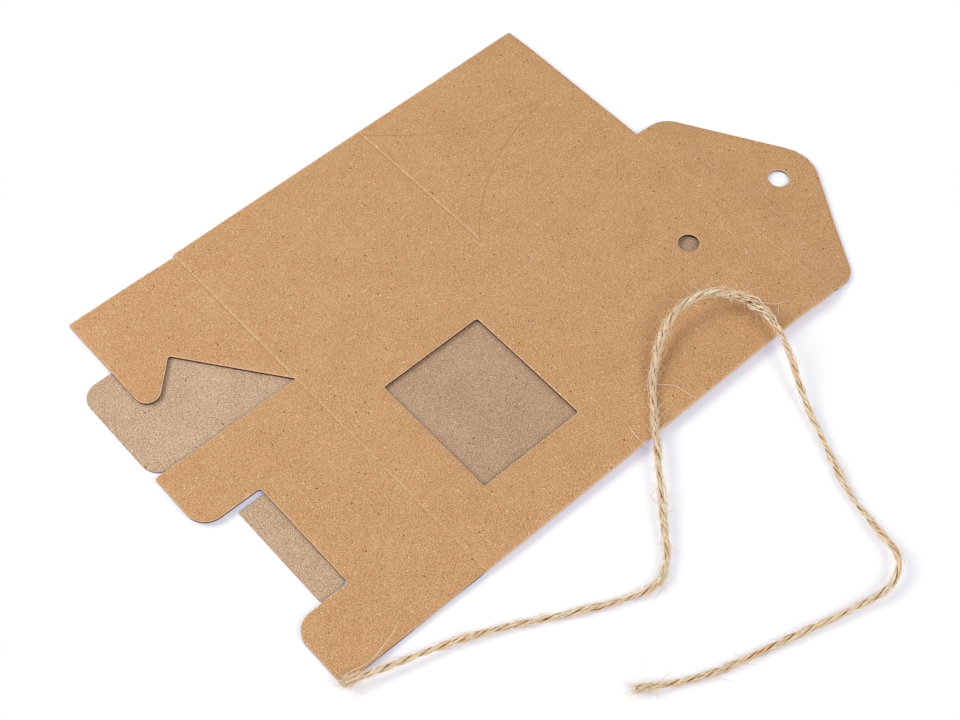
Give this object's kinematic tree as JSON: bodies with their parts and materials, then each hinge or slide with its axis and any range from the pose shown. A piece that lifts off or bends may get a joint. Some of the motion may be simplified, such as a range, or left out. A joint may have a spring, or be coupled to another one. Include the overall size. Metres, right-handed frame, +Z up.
{
  "type": "paper box with window",
  "caption": "Kraft card gift box folded flat, with a window, a lock bottom, a tag-shaped closing tab with a twine hole, and a loose jute twine tie.",
  "frame": {"origin": "middle of the flat carton's outline, on the surface that it lies on", "axes": "+X along the carton from the lock bottom's flaps to the tip of the closing tab, +Y across it towards the fold between the side panel and the back panel, +Z up through the flat layers"},
  "size_m": [0.1676, 0.1671, 0.0082],
  "materials": {
    "kraft_card": "matte",
    "jute": "matte"
  },
  "bodies": {
    "carton": {"carton": "kraft_card", "twine": "jute"},
    "closing_tab": {"closing_tab": "kraft_card"}
  },
  "joints": [
    {"name": "tab_fold", "type": "hinge", "parent": "carton", "child": "closing_tab", "pos_m": [0.05915, -0.023, 0.0004], "axis": [0, 1, 0], "range_deg": [0, 180]}
  ]
}
